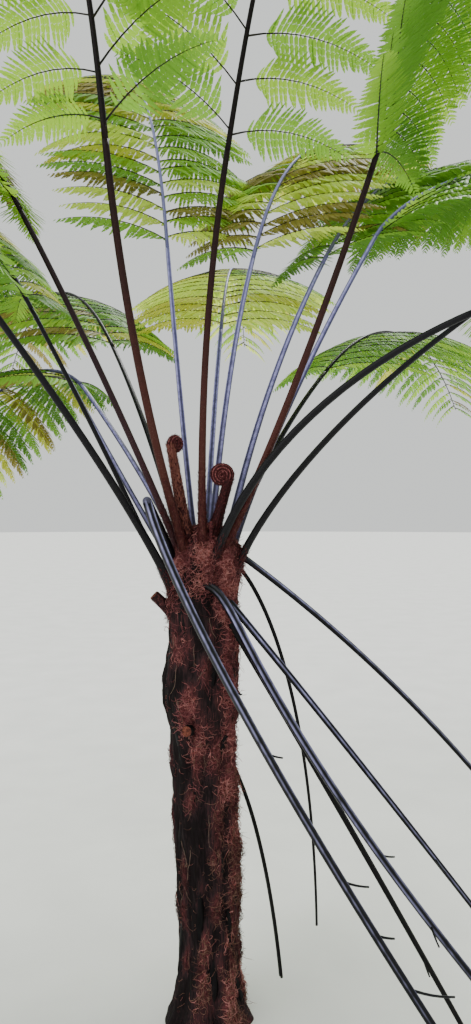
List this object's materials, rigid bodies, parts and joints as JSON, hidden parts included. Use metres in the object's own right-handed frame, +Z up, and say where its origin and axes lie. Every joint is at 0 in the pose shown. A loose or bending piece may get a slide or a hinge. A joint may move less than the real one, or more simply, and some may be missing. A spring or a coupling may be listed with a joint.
{
  "type": "tree fern",
  "caption": "Tree fern with a stout fibrous trunk, a crown of arching stalked fronds, rolled croziers and old bare fronds that hang to the ground.",
  "frame": {"origin": "middle of the flat cut under the trunk, at ground level", "axes": "+Z up along the trunk, -Y towards the viewer of the picture, +X to that viewer's right"},
  "size_m": [4.6785, 3.4248, 3.8627],
  "materials": {
    "trunk": "rough dark brown-black stem with matted rootlets",
    "cut_stub": "sawn red-brown pith",
    "crozier": "dense red-brown scales",
    "red_stalk": "satin red-brown young stalk",
    "black_stalk": "glossy black stalk with a blue sheen",
    "old_stalk": "dry black stalk",
    "leaf": "thin satin green leaf"
  },
  "bodies": {
    "root": {"trunk": "trunk", "stub_left": "cut_stub", "stub_front": "cut_stub", "crozier_left": "crozier", "crozier_right": "crozier", "crozier_bud": "crozier", "stipe_front_left": "red_stalk", "stipe_front_right": "red_stalk", "stipe_right_tall": "red_stalk", "stipe_back_right_tall": "black_stalk", "stipe_back_right": "black_stalk", "stipe_right_arching": "black_stalk", "stipe_back_left_upright": "black_stalk", "stipe_right_front": "black_stalk", "stipe_right_low": "black_stalk", "stipe_left": "black_stalk", "stipe_left_front": "black_stalk", "stipe_left_back": "black_stalk", "stipe_left_thin": "black_stalk", "stipe_left_arching": "black_stalk", "stipe_back": "black_stalk", "stipe_back_left": "black_stalk", "stipe_back_right_low": "black_stalk", "folded_stalk": "old_stalk", "folded_fall": "old_stalk", "stalk_hanging_front": "old_stalk", "stalk_hanging_front_low": "old_stalk", "stalk_hanging_right": "old_stalk", "stalk_hanging_right_back": "old_stalk", "stalk_hanging_low": "old_stalk", "stalk_hanging_thin": "old_stalk", "blade_front_left": "leaf", "blade_front_right": "leaf", "blade_right_tall": "leaf", "blade_back_right_tall": "leaf", "blade_back_right": "leaf", "blade_right_arching": "leaf", "blade_back_left_upright": "leaf", "blade_right_front": "leaf", "blade_right_low": "leaf", "blade_left": "leaf", "blade_left_front": "leaf", "blade_left_back": "leaf", "blade_left_thin": "leaf", "blade_left_arching": "leaf", "blade_back": "leaf", "blade_back_left": "leaf", "blade_back_right_low": "leaf"}
  },
  "joints": []
}
